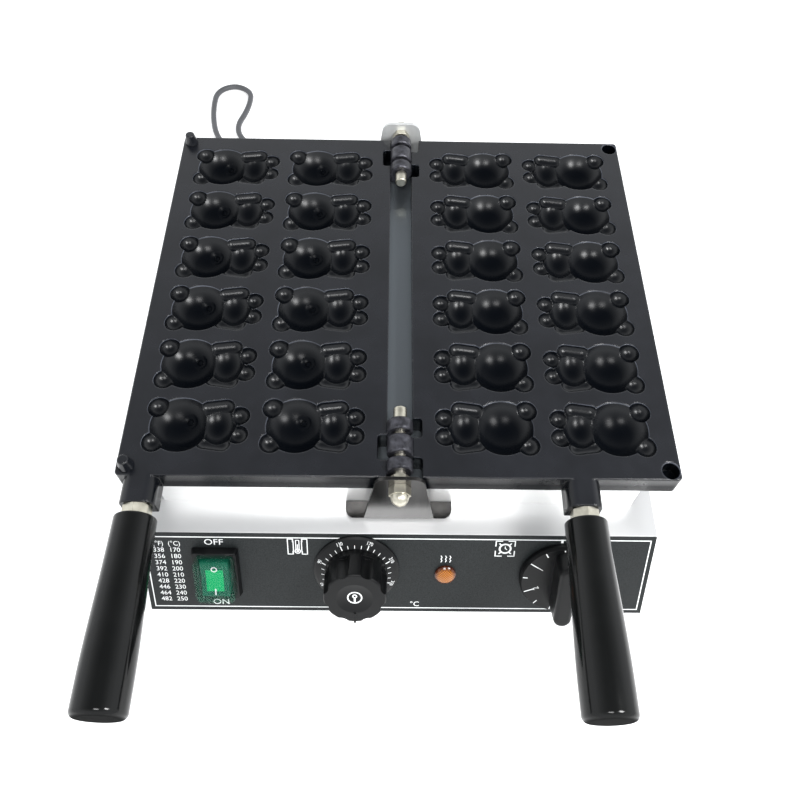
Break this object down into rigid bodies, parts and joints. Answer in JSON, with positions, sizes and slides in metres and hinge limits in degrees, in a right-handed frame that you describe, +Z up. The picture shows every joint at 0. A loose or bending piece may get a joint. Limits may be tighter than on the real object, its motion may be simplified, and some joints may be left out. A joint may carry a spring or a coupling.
{
  "type": "flip waffle iron",
  "caption": "Table-top flip waffle iron: hinged black mould plates with teddy-bear hollows lie open over a heated steel deck on a housing with a sloping control panel and a mains cord.",
  "frame": {"origin": "on the table, under the middle of the object's box without its cord", "axes": "+X to the right of someone who faces the controls, +Y to the back, +Z up"},
  "size_m": [0.4087, 0.7232, 0.1489],
  "materials": {
    "mould": "satin non-stick coating",
    "stainless": "brushed",
    "zinc": "zinc plated",
    "grip": "glossy",
    "panel": "matt",
    "knob": "satin",
    "green": "glossy",
    "clear": "clear flexible cover",
    "amber": "glossy",
    "rubber": "matt",
    "fibre": "mineral fibre board",
    "tray": "bright",
    "sheath": "oxidised",
    "ceramic": "glazed ceramic",
    "brass": "plain",
    "copper": "plain",
    "device": "moulded",
    "cord": "matt PVC",
    "strap": "plain"
  },
  "bodies": {
    "base": {"front_hinge_bracket": "stainless", "rear_hinge_bracket": "stainless", "front_hinge_pin": "zinc", "rear_hinge_pin": "zinc", "hinge_lock_nuts": "zinc", "hinge_cap_nuts": "zinc", "housing": "stainless", "bottom_cover": "stainless", "cover_screws": "zinc", "rubber_feet": "rubber", "foot_screws": "zinc", "foot_nuts": "zinc", "raised_deck": "stainless", "insulation_board": "fibre", "reflector_tray": "tray", "left_heating_element": "sheath", "right_heating_element": "sheath", "heater_insulators": "ceramic", "heater_terminals": "brass", "heater_supports": "stainless", "sensor_bulb": "copper", "control_panel": "panel", "thermostat_body": "device", "thermostat_screws": "zinc", "temperature_dial": "knob", "timer_body": "device", "timer_screws": "zinc", "switch_housing": "knob", "switch_boot": "clear", "lamp_lens": "amber", "lamp_body": "device", "lamp_nut": "device", "terminal_block": "ceramic", "cord_strain_relief": "rubber", "strain_relief_nut": "device", "power_cord": "cord", "cord_coil": "cord", "cord_tie": "strap", "plug_lead": "cord", "plug": "rubber", "plug_pins": "brass"},
    "left_mould": {"left_plate": "mould", "left_hinge_knuckles": "mould", "locating_pins": "mould", "left_handle_stud": "zinc", "left_handle_nut": "zinc", "left_handle_grip": "grip"},
    "right_mould": {"right_plate": "mould", "right_hinge_knuckles": "mould", "right_handle_stud": "zinc", "right_handle_nut": "zinc", "right_handle_grip": "grip"},
    "temperature_control": {"temperature_knob": "knob", "thermostat_shaft": "zinc"},
    "timer_control": {"timer_knob": "knob", "timer_shaft": "zinc"},
    "rocker": {"switch_rocker": "green"}
  },
  "joints": [
    {"name": "left_mould_swing", "type": "hinge", "parent": "base", "child": "left_mould", "pos_m": [0, 0.064, 0.13655], "axis": [0, 1, 0], "range_deg": [0, 180]},
    {"name": "right_mould_swing", "type": "hinge", "parent": "base", "child": "right_mould", "pos_m": [0, 0.064, 0.13655], "axis": [0, -1, 0], "range_deg": [0, 180]},
    {"name": "temperature_turn", "type": "hinge", "parent": "base", "child": "temperature_control", "pos_m": [-0.0303, -0.1341, 0.05311], "axis": [0, 0.866, -0.5], "range_deg": [0, 290]},
    {"name": "timer_turn", "type": "hinge", "parent": "base", "child": "timer_control", "pos_m": [0.1195, -0.13625, 0.04939], "axis": [0, 0.866, -0.5], "range_deg": [0, 300]},
    {"name": "switch_tilt", "type": "hinge", "parent": "base", "child": "rocker", "pos_m": [-0.1324, -0.13835, 0.05176], "axis": [1, 0, 0], "range_deg": [0, 12]}
  ]
}
